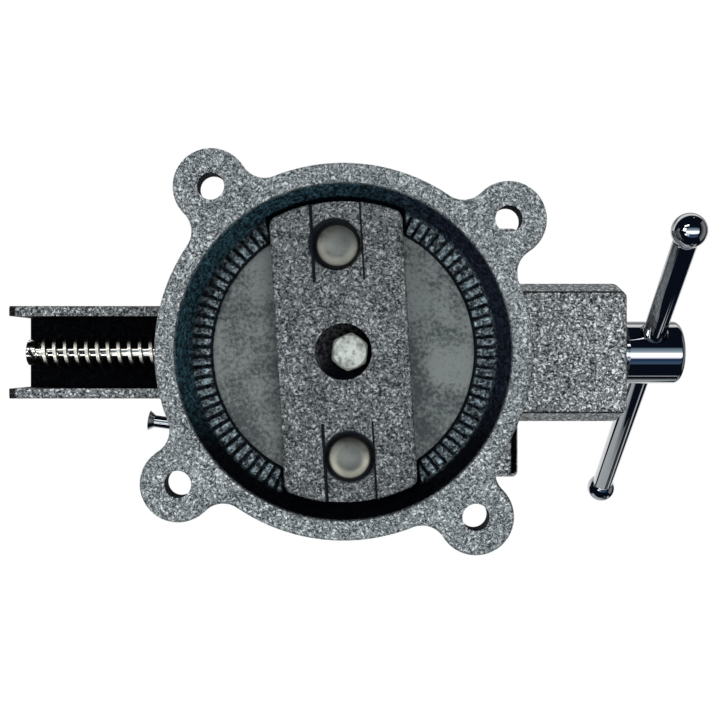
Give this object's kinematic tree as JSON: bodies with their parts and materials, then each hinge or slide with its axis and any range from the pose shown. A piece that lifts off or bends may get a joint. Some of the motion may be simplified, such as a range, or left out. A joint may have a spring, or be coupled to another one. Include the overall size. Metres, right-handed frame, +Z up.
{
  "type": "swivel base bench vise",
  "caption": "Bench vise with a sliding jaw, a screw and sliding T-handle, on a round base with lugs that turns and locks by a clamp bar under a serrated ring.",
  "frame": {"origin": "centre of the base's bottom face, on the swivel axis", "axes": "+Z up along the swivel axis, +X along the slide towards the screw's handle"},
  "size_m": [0.3708, 0.1967, 0.2079],
  "materials": {
    "painted_casting": "silver-grey hammered enamel on rough casting",
    "machined_iron": "turned",
    "hardened_steel": "ground, crossed grooves",
    "dark_steel": "blackened",
    "bright_steel": "turned and oiled",
    "zinc_plate": "dull zinc plating",
    "chrome_plate": "polished chrome plating"
  },
  "bodies": {
    "base": {"swivel_base": "painted_casting"},
    "body": {"vise_body": "painted_casting", "fixed_jaw_insert": "hardened_steel", "fixed_jaw_screws": "dark_steel", "main_nut": "machined_iron", "nut_bolt": "zinc_plate", "nut_bolt_washer": "zinc_plate", "lock_washers": "zinc_plate"},
    "clamp": {"clamp_bar": "painted_casting", "lock_bolt_left": "zinc_plate", "lock_bolt_right": "zinc_plate"},
    "left_nut": {"lock_nut_left": "chrome_plate"},
    "right_nut": {"lock_nut_right": "chrome_plate"},
    "left_bar": {"lock_bar_left": "chrome_plate"},
    "right_bar": {"lock_bar_right": "chrome_plate"},
    "jaw": {"movable_jaw": "painted_casting", "movable_jaw_insert": "hardened_steel", "movable_jaw_screws": "dark_steel"},
    "screw": {"main_screw": "bright_steel", "thrust_washer": "zinc_plate", "screw_collar": "dark_steel", "collar_pin": "bright_steel"},
    "handle": {"handle_bar": "chrome_plate", "handle_ball_lower": "chrome_plate", "handle_ball_upper": "chrome_plate"}
  },
  "joints": [
    {"name": "vise_swivel", "type": "hinge", "parent": "base", "child": "body", "pos_m": [0, 0, 0], "axis": [0, 0, 1], "continuous": true},
    {"name": "clamp_lift", "type": "slide", "parent": "body", "child": "clamp", "axis": [0, 0, 1], "range_m": [0, 0.0006875]},
    {"name": "right_nut_turn", "type": "hinge", "parent": "body", "child": "right_nut", "pos_m": [0.00296, 0.05131, 0], "axis": [0, 0, 1], "range_deg": [-165.1, 0]},
    {"name": "left_nut_turn", "type": "hinge", "parent": "body", "child": "left_nut", "pos_m": [-0.00296, -0.05131, 0], "axis": [0, 0, 1], "range_deg": [-165.1, 0]},
    {"name": "right_bar_slide", "type": "slide", "parent": "right_nut", "child": "right_bar", "axis": [-0.9907, -0.1357, 0], "range_m": [-0.0965, 0]},
    {"name": "left_bar_slide", "type": "slide", "parent": "left_nut", "child": "left_bar", "axis": [0.994, -0.1097, 0], "range_m": [-0.093, 0.0035]},
    {"name": "jaw_travel", "type": "slide", "parent": "body", "child": "jaw", "axis": [1, 0, 0], "range_m": [0, 0.15]},
    {"name": "screw_turn", "type": "hinge", "parent": "jaw", "child": "screw", "pos_m": [0, 0, 0.091], "axis": [1, 0, 0], "range_deg": [0, 9000]},
    {"name": "handle_slide", "type": "slide", "parent": "screw", "child": "handle", "axis": [0, 0.6428, 0.766], "range_m": [-0.114, 0.066]}
  ],
  "couplings": [
    {"joint": "screw_turn", "follows": "jaw_travel", "rad_per_m": 1047.2},
    {"joint": "right_nut_turn", "follows": "clamp_lift", "rad_per_m": -4188.8},
    {"joint": "left_nut_turn", "follows": "clamp_lift", "rad_per_m": -4188.8}
  ]
}
